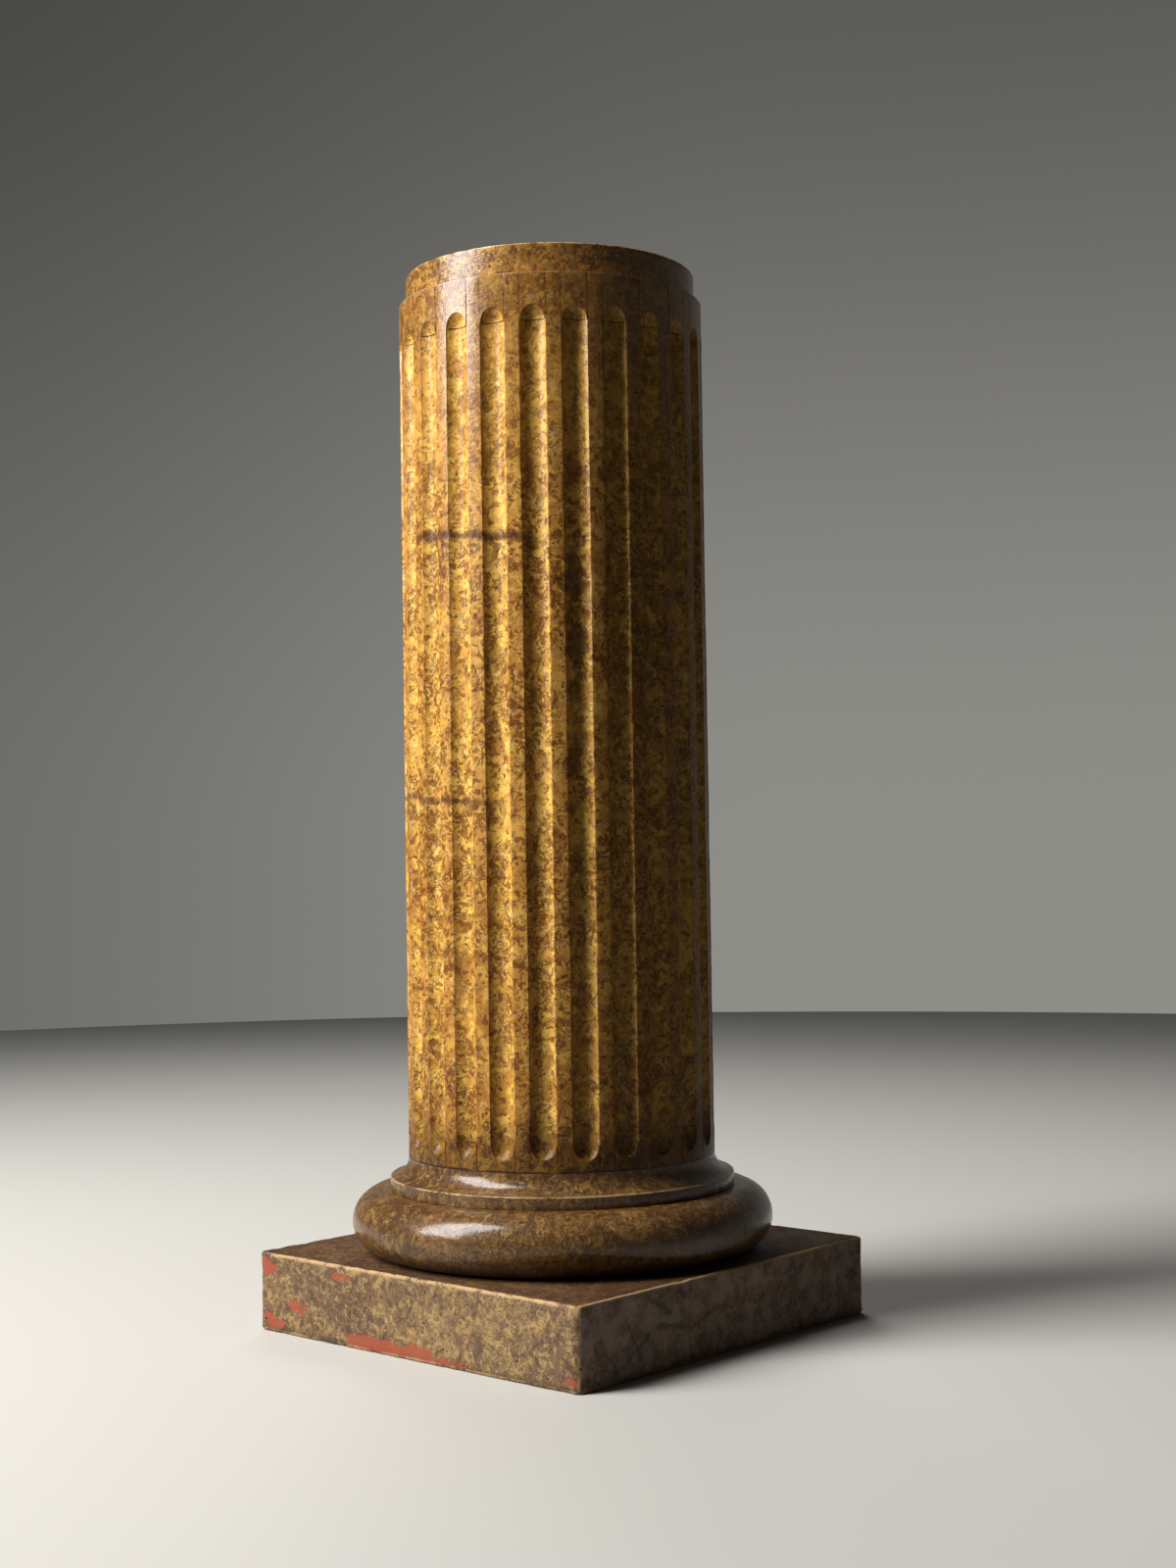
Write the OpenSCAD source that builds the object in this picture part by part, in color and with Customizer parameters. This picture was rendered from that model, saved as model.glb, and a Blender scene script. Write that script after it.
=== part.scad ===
// Fluted column pedestal: a square plinth, a torus, a hollowed base ring, a fluted shaft and a
// collar, stacked by their own weight. The flutes are run right through the shaft, and a small
// scooped block let into each end of each flute gives it its arched stop.
// The frame stands at the middle of the plinth's underside, +Z up, with plinth faces to X and Y.

/* [Whole column] */
// Height over everything, from the floor to the top of the collar
column_h = 1000; // [800:5:1200]
// Radius of the shaft over the flat fillets between its flutes
shaft_r = 146; // [115:1:185]
// Turn of the shaft about the upright axis, in degrees, off a flute-and-fillet symmetric stand
shaft_turn = -1.15; // [-7.5:0.05:7.5]

/* [Plinth] */
// Height of the square plinth
plinth_h = 73; // [50:1:100]
// How far the plinth stands out beyond the torus on each side
plinth_margin = 5; // [2:0.5:30]
// Rounding of the four upright corners
plinth_corner_r = 8; // [2:0.5:25]

/* [Torus] */
// Height of the half-round torus
torus_h = 58; // [40:1:75]
// How far the torus stands out beyond the fillet of the base ring
torus_reach = 36; // [25:0.5:50]

/* [Base ring] */
// Height of the ring's upright fillet
fillet_h = 11.8; // [6:0.2:18]
// Radius of the hollow that sweeps from the fillet in to the shaft
cavetto_r = 18; // [12:0.5:26]

/* [Flutes] */
// Number of flutes around the shaft
flute_count = 24; // [16:1:26]
// Width of a flute, from edge to edge
flute_w = 23.8; // [16:0.2:27]
// Depth of a flute below the round of the shaft
flute_depth = 6.5; // [4:0.1:8.5]

/* [Flute stops] */
// Length of the blocks let in at the head of the flutes
head_stop_l = 43; // [30:0.5:70]
// Length of the blocks let in at the foot of the flutes
foot_stop_l = 24.8; // [20:0.1:60]
// Rise of the scooped arch at the head
head_arch_rise = 12.5; // [9:0.1:17]
// Rise of the scooped arch at the foot
foot_arch_rise = 14; // [9:0.1:17]
// Step left where a scoop meets the floor of its flute
stop_lip = 0.4; // [0.2:0.05:0.8]
// Glue line around a let-in block
glue_line = 0.1; // [0.05:0.05:0.3]

/* [Collar] */
// Height of the reduced disc on top
collar_h = 28.5; // [15:0.5:50]
// Width of the ledge that the shaft leaves around the collar
ledge_w = 6.8; // [3:0.1:15]
// Rounding of the collar's upper edge
collar_edge_r = 1.5; // [0.5:0.1:4]

/* [Hidden] */
$fn = 240;
clear = 1; // how far a cutter runs past the face it leaves
ring_h = fillet_h + cavetto_r;
fillet_r = shaft_r + cavetto_r;
torus_r = fillet_r + torus_reach;
plinth_w = 2 * (torus_r + plinth_margin);
collar_r = shaft_r - ledge_w;
torus_z = plinth_h;
ring_z = torus_z + torus_h;
shaft_z = ring_z + ring_h;
collar_z = column_h - collar_h;
shaft_h = collar_z - shaft_z;
// A flute is round-bottomed: its circle passes through both edges and the deepest point
flute_pitch = 360 / flute_count;
edge_x = sqrt(pow(shaft_r, 2) - pow(flute_w / 2, 2));
floor_depth = edge_x - (shaft_r - flute_depth);
flute_r = (pow(flute_w / 2, 2) + pow(floor_depth, 2)) / (2 * floor_depth);
flute_x = shaft_r - flute_depth + flute_r;
// A scoop is a round gouge cut that starts just inside the flute's outline and slopes out
scoop_w = flute_w / 2 - stop_lip;
scoop_depth = floor_depth - stop_lip;

// The angle of flute i, so that an unturned shaft is symmetric about the X and Y axes
function flute_angle(i) = (i - 0.5) * flute_pitch + shaft_turn;

module plinth() {
    flat = plinth_w - 2 * plinth_corner_r;
    color("#4d4431") linear_extrude(plinth_h) {
        square([plinth_w, flat], center = true);
        square([flat, plinth_w], center = true);
        for (x = [-1, 1], y = [-1, 1]) translate([x, y] * flat / 2) circle(plinth_corner_r);
    }
}

module torus() {
    half_h = torus_h / 2;
    color("#6b5a33") translate([0, 0, torus_z]) rotate_extrude() {
        square([torus_r - half_h, torus_h]);
        intersection() {
            translate([torus_r - half_h, half_h]) circle(half_h);
            translate([torus_r - half_h, 0]) square([half_h, torus_h]);
        }
    }
}

module base_ring() {
    color("#6f5b30") translate([0, 0, ring_z]) rotate_extrude() difference() {
        square([fillet_r, ring_h]);
        translate([fillet_r, ring_h]) circle(cavetto_r);
    }
}

module shaft() {
    color("#a07a3a") translate([0, 0, shaft_z]) difference() {
        cylinder(h = shaft_h, r = shaft_r);
        for (i = [1:flute_count]) rotate(flute_angle(i))
            translate([flute_x, 0, -clear]) cylinder(h = shaft_h + 2 * clear, r = flute_r);
    }
}

// A block that fills the end of a flute: its foot at z = 0, with the scoop rising from there
module stop_block(length, rise) {
    slope = atan(rise / scoop_depth);
    cut = scoop_depth * sin(slope);
    gouge_r = (pow(scoop_w, 2) + pow(cut, 2)) / (2 * cut);
    difference() {
        intersection() {
            cylinder(h = length, r = shaft_r);
            translate([flute_x, 0, 0]) cylinder(h = length, r = flute_r - glue_line);
        }
        translate([edge_x - scoop_depth + gouge_r / sin(slope), 0, 0])
            rotate([0, 90 - slope, 0]) cylinder(h = 6 * gouge_r, r = gouge_r, center = true);
    }
}

module head_stop(i) {
    color("#9a7436") rotate(flute_angle(i)) translate([0, 0, collar_z - head_stop_l])
        stop_block(head_stop_l, head_arch_rise);
}

module foot_stop(i) {
    color("#87682f") rotate(flute_angle(i)) translate([0, 0, shaft_z + foot_stop_l])
        mirror([0, 0, 1]) stop_block(foot_stop_l, foot_arch_rise);
}

module collar() {
    flat_r = collar_r - collar_edge_r;
    color("#8f6d35") translate([0, 0, collar_z]) rotate_extrude() {
        square([flat_r, collar_h]);
        square([collar_r, collar_h - collar_edge_r]);
        translate([flat_r, collar_h - collar_edge_r]) circle(collar_edge_r);
    }
}

plinth();
torus();
base_ring();
shaft();
collar();
for (i = [1:flute_count]) head_stop(i);
for (i = [1:flute_count]) foot_stop(i);
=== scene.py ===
import math
import random
import bpy
from mathutils import Matrix, Vector


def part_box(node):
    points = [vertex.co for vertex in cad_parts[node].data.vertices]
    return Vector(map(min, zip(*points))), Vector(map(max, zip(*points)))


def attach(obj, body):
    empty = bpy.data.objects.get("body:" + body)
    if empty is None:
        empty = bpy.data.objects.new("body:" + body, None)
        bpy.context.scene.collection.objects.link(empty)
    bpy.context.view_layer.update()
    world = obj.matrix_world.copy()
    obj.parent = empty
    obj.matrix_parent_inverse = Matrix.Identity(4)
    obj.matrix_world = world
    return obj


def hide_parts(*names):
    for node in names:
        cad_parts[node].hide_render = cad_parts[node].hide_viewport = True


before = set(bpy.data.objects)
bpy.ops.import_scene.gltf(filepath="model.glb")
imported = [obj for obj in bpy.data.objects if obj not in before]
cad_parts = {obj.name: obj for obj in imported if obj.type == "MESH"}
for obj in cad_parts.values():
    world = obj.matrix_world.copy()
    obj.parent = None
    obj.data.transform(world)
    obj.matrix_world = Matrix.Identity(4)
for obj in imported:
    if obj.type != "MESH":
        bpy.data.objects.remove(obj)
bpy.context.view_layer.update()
mm = 0.001
full = math.tau
random.seed(11)  # the same small differences between hand-cut pieces on every run


# Small helpers, each used many times below

def only(piece):  # leaves one piece selected and active
    bpy.ops.object.select_all(action="DESELECT")
    piece.select_set(True)
    bpy.context.view_layer.objects.active = piece


def edit(piece):  # opens a piece for editing with nothing selected
    only(piece)
    bpy.ops.object.mode_set(mode="EDIT")
    bpy.ops.mesh.select_mode(type="VERT")
    bpy.ops.mesh.select_all(action="DESELECT")


def pick(kind, test):  # selects the vertices, edges or faces of the open piece that pass a test
    bpy.ops.mesh.select_mode(type=kind)
    bpy.ops.mesh.select_all(action="DESELECT")
    bpy.ops.object.mode_set(mode="OBJECT")
    mesh = bpy.context.object.data
    if kind == "VERT":
        for vertex in mesh.vertices:
            vertex.select = test(vertex.co)
    elif kind == "EDGE":
        for edge in mesh.edges:
            edge.select = test(*(mesh.vertices[v].co for v in edge.vertices))
    else:
        for face in mesh.polygons:
            face.select = test(face.center, face.normal)
    bpy.ops.object.mode_set(mode="EDIT")


def close(piece, smoothAngle=35):  # merges doubles, turns faces outwards and smooths the soft edges
    bpy.ops.mesh.select_all(action="SELECT")
    bpy.ops.mesh.remove_doubles(threshold=0.01 * mm)
    bpy.ops.mesh.normals_make_consistent(inside=False)
    bpy.ops.object.mode_set(mode="OBJECT")
    bpy.ops.object.shade_smooth_by_angle(angle=math.radians(smoothAngle))


def modify(piece, kind, **settings):  # adds a modifier and applies it
    only(piece)
    made = piece.modifiers.new(kind.title(), kind)
    for name, value in settings.items():
        setattr(made, name, value)
    bpy.ops.object.modifier_apply(modifier=made.name)


def cloud(name, size, low=0.0, high=1.0, depth=2):  # a noise texture for hand-made unevenness
    made = bpy.data.textures.new(name, "CLOUDS")
    made.noise_scale = size
    made.noise_depth = depth
    made.use_color_ramp = True
    made.color_ramp.elements[0].position = low
    made.color_ramp.elements[1].position = high
    made.color_ramp.elements[0].color = (0, 0, 0, 1)
    made.color_ramp.elements[1].color = (1, 1, 1, 1)
    return made


def group(piece, name, weight):  # weights every vertex by a function of its place
    made = piece.vertex_groups.new(name=name)
    for vertex in piece.data.vertices:
        amount = weight(vertex.co)
        if amount > 0:
            made.add([vertex.index], min(1.0, amount), "REPLACE")
    return name


def wearDown(piece, texture, deep, where=""):  # sinks the surface, never lifts it
    modify(piece, "DISPLACE", texture=texture, texture_coords="LOCAL", direction="NORMAL",
           mid_level=0.0, strength=-deep, vertex_group=where)


def stand(piece, name, slotName, *nodes):  # hands a finished piece over to the frame
    piece.name = name
    piece.data.name = name
    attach(piece, "root")
    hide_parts(*nodes)
    return piece


def radius(place):
    return math.hypot(place.x, place.y)


# Plinth: a sawn block with its edges knocked off

plinthLook = {"cornerR": 8 * mm, "edgeR": 2.2 * mm, "segments": 5, "lengthCuts": 90, "heightCuts": 12,
              "nickSize": 9 * mm, "nickDeep": 1.8 * mm, "warpSize": 90 * mm, "warpDeep": 0.5 * mm}


def makePlinth():
    look = plinthLook
    low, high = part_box("plinth")
    size = high - low
    bpy.ops.mesh.primitive_cube_add(size=1, location=(low + high) / 2)
    piece = bpy.context.object
    piece.scale = size
    bpy.ops.object.transform_apply(location=True, rotation=True, scale=True)
    edit(piece)
    pick("EDGE", lambda a, b: abs(a.z - b.z) > size.z / 2)
    bpy.ops.mesh.bevel(offset=look["cornerR"], segments=look["segments"], affect="EDGES")
    pick("EDGE", lambda a, b: abs(a.z - b.z) < mm)
    bpy.ops.mesh.bevel(offset=look["edgeR"], segments=3, affect="EDGES")
    pick("EDGE", lambda a, b: abs(a.z - b.z) < mm and (a - b).length > size.x / 2)
    bpy.ops.mesh.subdivide(number_cuts=look["lengthCuts"])
    pick("EDGE", lambda a, b: abs(a.z - b.z) > size.z / 2)
    bpy.ops.mesh.subdivide(number_cuts=look["heightCuts"])
    close(piece)
    half = size.x / 2

    def nearEdge(place):  # 1 on the top and foot edges and the upright corners, 0 on the flats
        upright = 1 - min(half - abs(place.x), half - abs(place.y)) / (4 * mm)
        level = 1 - min(place.z - low.z, high.z - place.z) / (4 * mm)
        corner = 1 - max(half - abs(place.x), half - abs(place.y)) / (7 * mm)
        return max(0, corner) if level <= 0 else max(0, min(level, upright) + max(0, corner))

    nicked = group(piece, "edges", nearEdge)
    wearDown(piece, cloud("edgeNicks", look["nickSize"], 0.52, 0.8), look["nickDeep"], nicked)
    wearDown(piece, cloud("plinthWarp", look["warpSize"], 0.2, 0.9), look["warpDeep"],
             group(piece, "sides", lambda p: 1 if low.z + 4 * mm < p.z < high.z - 4 * mm else 0))
    return stand(piece, "plinthBlock", "plinth_paint", "plinth")


# Torus and base ring: turned mouldings

mouldingLook = {"around": 256, "torusAcross": 64, "hollowSteps": 16, "edgeR": 0.9 * mm,
                "dentSize": 45 * mm, "dentDeep": 0.5 * mm, "edgeNickSize": 8 * mm, "edgeNickDeep": 0.7 * mm}


def makeTorus():
    look = mouldingLook
    low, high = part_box("torus")
    half = (high.z - low.z) / 2
    major = high.x - half
    bpy.ops.mesh.primitive_torus_add(location=(0, 0, low.z + half), major_radius=major, minor_radius=half,
                                     major_segments=look["around"], minor_segments=look["torusAcross"])
    piece = bpy.context.object
    bpy.ops.object.transform_apply(location=True, rotation=True, scale=True)
    edit(piece)
    pick("FACE", lambda centre, normal: radius(centre) < major)
    bpy.ops.mesh.delete(type="FACE")
    for level in (low.z, high.z):  # a flat bed under and over the roll
        pick("EDGE", lambda *ends: all(radius(p) < major + mm and abs(p.z - level) < mm for p in ends))
        bpy.ops.mesh.edge_face_add()
        bpy.ops.mesh.inset(thickness=20 * mm)
    close(piece)
    wearDown(piece, cloud("torusDents", look["dentSize"], 0.3, 0.9), look["dentDeep"],
             group(piece, "roll", lambda p: min(1, (radius(p) - major) / (4 * mm))))
    return stand(piece, "torusRoll", "moulding_paint", "torus")


def makeBaseRing():
    look = mouldingLook
    low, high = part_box("base_ring")
    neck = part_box("shaft")[1].x  # the hollow runs up into the shaft
    outer = high.x
    hollow = outer - neck
    tall = high.z - low.z - hollow
    bpy.ops.mesh.primitive_cylinder_add(vertices=look["around"], radius=outer, depth=tall,
                                        location=(0, 0, low.z + tall / 2))
    piece = bpy.context.object
    bpy.ops.object.transform_apply(location=True, rotation=True, scale=True)
    edit(piece)
    pick("FACE", lambda centre, normal: normal.z > 0.9)
    step = math.pi / 2 / look["hollowSteps"]
    wide, level = outer, 0.0
    for i in range(1, look["hollowSteps"] + 1):
        nextWide = outer - hollow * math.sin(i * step)
        nextLevel = hollow * (1 - math.cos(i * step))
        bpy.ops.mesh.extrude_region_move(TRANSFORM_OT_translate={"value": (0, 0, nextLevel - level)})
        shrink = nextWide / wide
        bpy.ops.transform.resize(value=(shrink, shrink, 1), center_override=(0, 0, high.z))
        wide, level = nextWide, nextLevel
    pick("EDGE", lambda a, b: abs(a.z - b.z) < 0.01 * mm and radius(a) > outer - 0.1 * mm)
    bpy.ops.mesh.bevel(offset=look["edgeR"], segments=3, affect="EDGES")
    close(piece)
    wearDown(piece, cloud("ringNicks", look["edgeNickSize"], 0.5, 0.85), look["edgeNickDeep"],
             group(piece, "edges", lambda p: 1 if radius(p) > outer - 1.5 * mm else 0))
    return stand(piece, "hollowedRing", "moulding_paint", "base_ring")


# Shaft: a turned drum with its flutes run through

shaftLook = {"flutes": 24, "turn": math.radians(-1.15), "fluteWide": 23.8 * mm, "fluteDeep": 6.5 * mm,
             "drumSides": 384, "cutterSides": 60, "rows": 100, "arrisR": 0.35 * mm,
             "swellSize": 60 * mm, "swellDeep": 0.35 * mm, "nickSize": 11 * mm, "nickDeep": 1.1 * mm}
shaftLow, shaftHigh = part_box("shaft")
shaftR = shaftHigh.x
edgeX = math.sqrt(shaftR ** 2 - (shaftLook["fluteWide"] / 2) ** 2)  # radius where a flute's two edges lie
floorDepth = edgeX - (shaftR - shaftLook["fluteDeep"])
fluteR = ((shaftLook["fluteWide"] / 2) ** 2 + floorDepth ** 2) / (2 * floorDepth)
fluteX = shaftR - shaftLook["fluteDeep"] + fluteR
pitch = full / shaftLook["flutes"]
firstFlute = pitch / 2 + shaftLook["turn"]


def cylinder(name, sides, size, low, high, x=0.0, turn=0.0):  # an upright cutter or blank
    bpy.ops.mesh.primitive_cylinder_add(vertices=sides, radius=size, depth=high - low,
                                        location=(x, 0, (low + high) / 2), rotation=(0, 0, turn))
    made = bpy.context.object
    made.name = name
    bpy.ops.object.transform_apply(location=True, rotation=True, scale=True)
    return made


def turned(piece, angle):  # a copy with its own mesh, turned about the column
    only(piece)
    bpy.ops.object.duplicate(linked=False)
    made = bpy.context.object
    bpy.ops.transform.rotate(value=-angle, orient_axis="Z", center_override=(0, 0, 0))
    bpy.ops.object.transform_apply(location=True, rotation=True, scale=True)
    return made


def remove(piece):
    bpy.data.objects.remove(piece, do_unlink=True)


def makeShaft():
    look = shaftLook
    side = full / look["drumSides"]
    drum = cylinder("drum", look["drumSides"], shaftR, shaftLow.z, shaftHigh.z,
                    turn=look["turn"] + side / 2)
    cutter = cylinder("fluteCutter", look["cutterSides"], fluteR, shaftLow.z - 5 * mm, shaftHigh.z + 5 * mm,
                      x=fluteX, turn=math.pi / 2)
    cutters = [turned(cutter, firstFlute + i * pitch) for i in range(look["flutes"])]
    remove(cutter)
    only(cutters[0])
    for piece in cutters:
        piece.select_set(True)
    bpy.ops.object.join()
    modify(drum, "BOOLEAN", operation="DIFFERENCE", object=cutters[0], solver="EXACT")
    remove(cutters[0])
    edit(drum)
    bpy.ops.mesh.select_mode(type="EDGE")
    bpy.ops.mesh.edges_select_sharp(sharpness=math.radians(25))
    bpy.ops.mesh.bevel(offset=look["arrisR"], segments=2, affect="EDGES", clamp_overlap=False)
    pick("EDGE", lambda a, b: abs(a.z - b.z) > (shaftHigh.z - shaftLow.z) / 2)
    bpy.ops.mesh.subdivide(number_cuts=look["rows"])
    close(drum)
    wearDown(drum, cloud("shaftSwell", look["swellSize"], 0.2, 0.9), look["swellDeep"],
             group(drum, "sides", lambda p: 1 if shaftLow.z + mm < p.z < shaftHigh.z - mm else 0))
    wearDown(drum, cloud("arrisNicks", look["nickSize"], 0.55, 0.85), look["nickDeep"],
             group(drum, "arrises", lambda p: onArris(p)))
    return stand(drum, "flutedShaft", "shaft_paint", "shaft")


def onArris(place):  # 1 on the edges of the flutes, falling to 0 within a millimetre or two
    phase = (math.atan2(place.y, place.x) - firstFlute + pitch / 2) % pitch - pitch / 2
    across = abs(abs(phase) * shaftR - math.asin(shaftLook["fluteWide"] / 2 / shaftR) * shaftR)
    return 1 - across / (1.5 * mm)


# Flute stops: short blocks let into the flutes, each scooped out with a gouge

stopLook = {"lip": 0.4 * mm, "glue": 0.1 * mm, "edgeR": 0.2 * mm, "sides": 96,
            "headRise": 12.5 * mm, "footRise": 14 * mm, "riseSpread": 0.7 * mm}


def makeStop(end, rise):
    look = stopLook
    low, high = (corner.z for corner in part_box(f"{end}_stop_1"))
    block = cylinder("stopBlock", look["sides"], fluteR - look["glue"], low, high, x=fluteX)
    outside = cylinder("roundOff", 4 * look["sides"], shaftR, low - 5 * mm, high + 5 * mm, turn=0.004)
    modify(block, "BOOLEAN", operation="INTERSECT", object=outside, solver="EXACT")
    remove(outside)
    ball = fluteR - look["lip"]
    noseUp = math.sqrt(ball ** 2 - (fluteX - shaftR) ** 2)  # how far a ball-nosed gouge reaches up the face
    bpy.ops.mesh.primitive_uv_sphere_add(segments=64, ring_count=48, radius=ball,
                                         location=(fluteX, 0, low if end == "head" else high))
    gouge = bpy.context.object
    gouge.scale = (1, 1, rise / noseUp)
    bpy.ops.object.transform_apply(location=True, rotation=True, scale=True)
    modify(block, "BOOLEAN", operation="DIFFERENCE", object=gouge, solver="EXACT")
    remove(gouge)
    edit(block)
    bpy.ops.mesh.select_mode(type="EDGE")
    bpy.ops.mesh.edges_select_sharp(sharpness=math.radians(35))
    bpy.ops.mesh.bevel(offset=look["edgeR"], segments=2, affect="EDGES", clamp_overlap=True)
    close(block, 30)
    modify(block, "WEIGHTED_NORMAL", keep_sharp=True, weight=80)
    return block


def makeStops():
    look = stopLook
    made = []
    for end, rise in (("head", look["headRise"]), ("foot", look["footRise"])):
        # three hand-cut variants are enough to keep the row from looking stamped
        variants = [makeStop(end, rise + look["riseSpread"] * k) for k in (-1, 0, 1)]
        for i in range(shaftLook["flutes"]):
            piece = turned(variants[random.randrange(3)], firstFlute + i * pitch)
            made.append(stand(piece, f"{end}Stop.{i + 1:02d}", "shaft_paint", f"{end}_stop_{i + 1}"))
        for piece in variants:
            remove(piece)
    return made


# Collar: the reduced disc on top

collarLook = {"around": 256, "topR": 1.6 * mm, "footR": 0.3 * mm, "rowCuts": 6,
              "nickSize": 5 * mm, "nickDeep": 0.5 * mm}


def makeCollar():
    look = collarLook
    low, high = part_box("collar")
    piece = cylinder("collarDisc", look["around"], high.x, low.z, high.z)
    edit(piece)
    pick("EDGE", lambda a, b: min(a.z, b.z) > high.z - mm)
    bpy.ops.mesh.bevel(offset=look["topR"], segments=4, affect="EDGES")
    pick("EDGE", lambda a, b: max(a.z, b.z) < low.z + mm)
    bpy.ops.mesh.bevel(offset=look["footR"], segments=2, affect="EDGES")
    pick("EDGE", lambda a, b: abs(a.z - b.z) > 10 * mm)
    bpy.ops.mesh.subdivide(number_cuts=look["rowCuts"])
    pick("FACE", lambda centre, normal: normal.z > 0.99)
    bpy.ops.mesh.inset(thickness=12 * mm)
    close(piece)
    rim = group(piece, "edge", lambda p: min(p.z - high.z, radius(p) - high.x) > -2 * mm)
    wearDown(piece, cloud("collarNicks", look["nickSize"], 0.5, 0.85), look["nickDeep"], rim)
    return stand(piece, "collarDisc", "collar_paint", "collar")


# Finishes: four varnished paints that share one way of marbling

def linear(hexColour):  # sRGB hex to linear red, green, blue, alpha
    parts = [int(hexColour[i:i + 2], 16) / 255 for i in (1, 3, 5)]
    return tuple(p / 12.92 if p <= 0.04045 else ((p + 0.055) / 1.055) ** 2.4 for p in parts) + (1.0,)


def live(value):  # what a node gives out: its first output in use
    if isinstance(value, bpy.types.Node):
        return next(socket for socket in value.outputs if socket.enabled)
    return value


def add(tree, kind, settings=None, links=None):  # one node, with its settings and what goes into it
    made = tree.nodes.new("ShaderNode" + kind)
    for name, value in (settings or {}).items():
        setattr(made, name, value)
    for name, value in links.items() if isinstance(links, dict) else enumerate(links or ()):
        value = live(value)
        if isinstance(value, bpy.types.NodeSocket):
            tree.links.new(value, made.inputs[name])
        else:
            made.inputs[name].default_value = linear(value) if isinstance(value, str) else value
    return made


# Settings that come again and again
plus = {"operation": "ADD"}
minus = {"operation": "SUBTRACT"}
times = {"operation": "MULTIPLY"}
over = {"operation": "DIVIDE"}
timesPlus = {"operation": "MULTIPLY_ADD"}
absolute = {"operation": "ABSOLUTE"}
larger = {"operation": "MAXIMUM"}
smaller = {"operation": "MINIMUM"}
squareRoot = {"operation": "SQRT"}
bearingOf = {"operation": "ARCTAN2"}
wrap = {"operation": "WRAP"}
soften = {"interpolation_type": "SMOOTHSTEP"}  # a soft step over a value: from, to, least, most
cover = {"data_type": "RGBA"}  # lays colour 7 over colour 6 by amount 0
tint = {"data_type": "RGBA", "blend_type": "MULTIPLY"}
lump = 0.6  # noise of scale 1 has lumps about this many metres across

marbleLayers = {  # detail, roughness, twist and shift of each noise; its lump size is the paint's own
    "cloud": (3, 0.6, 0, (0, 0, 0)), "dab": (3, 0.6, 0.9, (3, 1, 2)), "patch": (4, 0.68, 0.9, (7, 2, 5)),
    "crowd": (2, 0.5, 0, (1, 9, 4)), "gate": (1, 0.5, 0.4, (2, 4, 8)), "comma": (1.5, 0.5, 1.6, (9, 4, 2)),
    "blot": (3, 0.65, 1.2, (4, 7, 1)), "curl": (1.5, 0.5, 1.9, (5, 5, 1)),
    "curlGate": (1, 0.55, 0, (2, 2, 6)), "speck": (1, 0.5, 0.5, (8, 3, 3))}


def marbling(tree, place, look, crowding=1.0):
    # Faux marble: ochre glaze dabbed over a pale ground, darker glaze broken up over it with a rag, then
    # short strokes flicked in with a fine brush. The eye sees gold clouds crowded with curled brown commas.
    noise = {}
    for name, (detail, rough, twist, shift) in marbleLayers.items():
        moved = add(tree, "Mapping", {}, {"Vector": place, "Location": shift})
        noise[name] = add(tree, "TexNoise", {},
                          {"Vector": moved, "Scale": lump / look[name], "Detail": detail,
                           "Roughness": rough, "Distortion": twist})
    clouds = add(tree, "MapRange", soften, (noise["cloud"], 0.38, 0.62))
    colour = add(tree, "Mix", cover, {0: clouds, 6: look["deep"], 7: look["ground"]})
    dabs = add(tree, "MapRange", soften, (noise["dab"], 0.47, 0.6, 0, look["brightMost"]))
    colour = add(tree, "Mix", cover, {0: dabs, 6: colour, 7: look["bright"]})
    patches = add(tree, "MapRange", soften, (noise["patch"], 0.5, 0.57))
    glazed = add(tree, "Math", times, (patches, look["patchMost"]))
    colour = add(tree, "Mix", cover, {0: glazed, 6: colour, 7: look["glaze"]})
    # the strokes crowd together in some places and thin out in others
    dense = add(tree, "MapRange", soften, (noise["crowd"], 0.36, 0.6))
    edge = add(tree, "Math", timesPlus, (dense, -look["crowding"], look["sparse"]))
    gate = add(tree, "MapRange", soften, (add(tree, "Math", minus, (noise["gate"], edge)), 0.0, 0.03))
    commas = add(tree, "Math", absolute, (add(tree, "Math", minus, (noise["comma"], 0.5)),))
    commas = add(tree, "Math", times, (add(tree, "MapRange", soften, (commas, 0.1, 0.065)), gate))
    commas = add(tree, "Math", times, (commas, crowding))
    struck = add(tree, "Math", times, (commas, look["commaMost"]))
    colour = add(tree, "Mix", cover, {0: struck, 6: colour, 7: look["umber"]})
    edge = add(tree, "Math", timesPlus, (dense, -0.05, 0.58))
    blots = add(tree, "MapRange", soften, (add(tree, "Math", minus, (noise["blot"], edge)), 0.0, 0.03))
    blots = add(tree, "Math", times, (blots, crowding))
    struck = add(tree, "Math", times, (blots, look["blotMost"]))
    colour = add(tree, "Mix", cover, {0: struck, 6: colour, 7: look["umber"]})
    # pale curls where the ground was wiped clean, and dark specks spattered last
    curls = add(tree, "Math", absolute, (add(tree, "Math", minus, (noise["curl"], 0.52)),))
    curls = add(tree, "MapRange", soften, (curls, 0.034, 0.012))
    curls = add(tree, "Math", times, (curls, add(tree, "MapRange", soften, (noise["curlGate"], 0.48, 0.56))))
    wiped = add(tree, "Math", times, (curls, look["curlMost"]))
    colour = add(tree, "Mix", cover, {0: wiped, 6: colour, 7: look["curlColour"]})
    specks = add(tree, "MapRange", soften, (noise["speck"], 0.69, 0.74, 0, 0.8))
    colour = add(tree, "Mix", cover, {0: specks, 6: colour, 7: look["dark"]})
    return colour, commas, patches, noise["crowd"]


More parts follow.
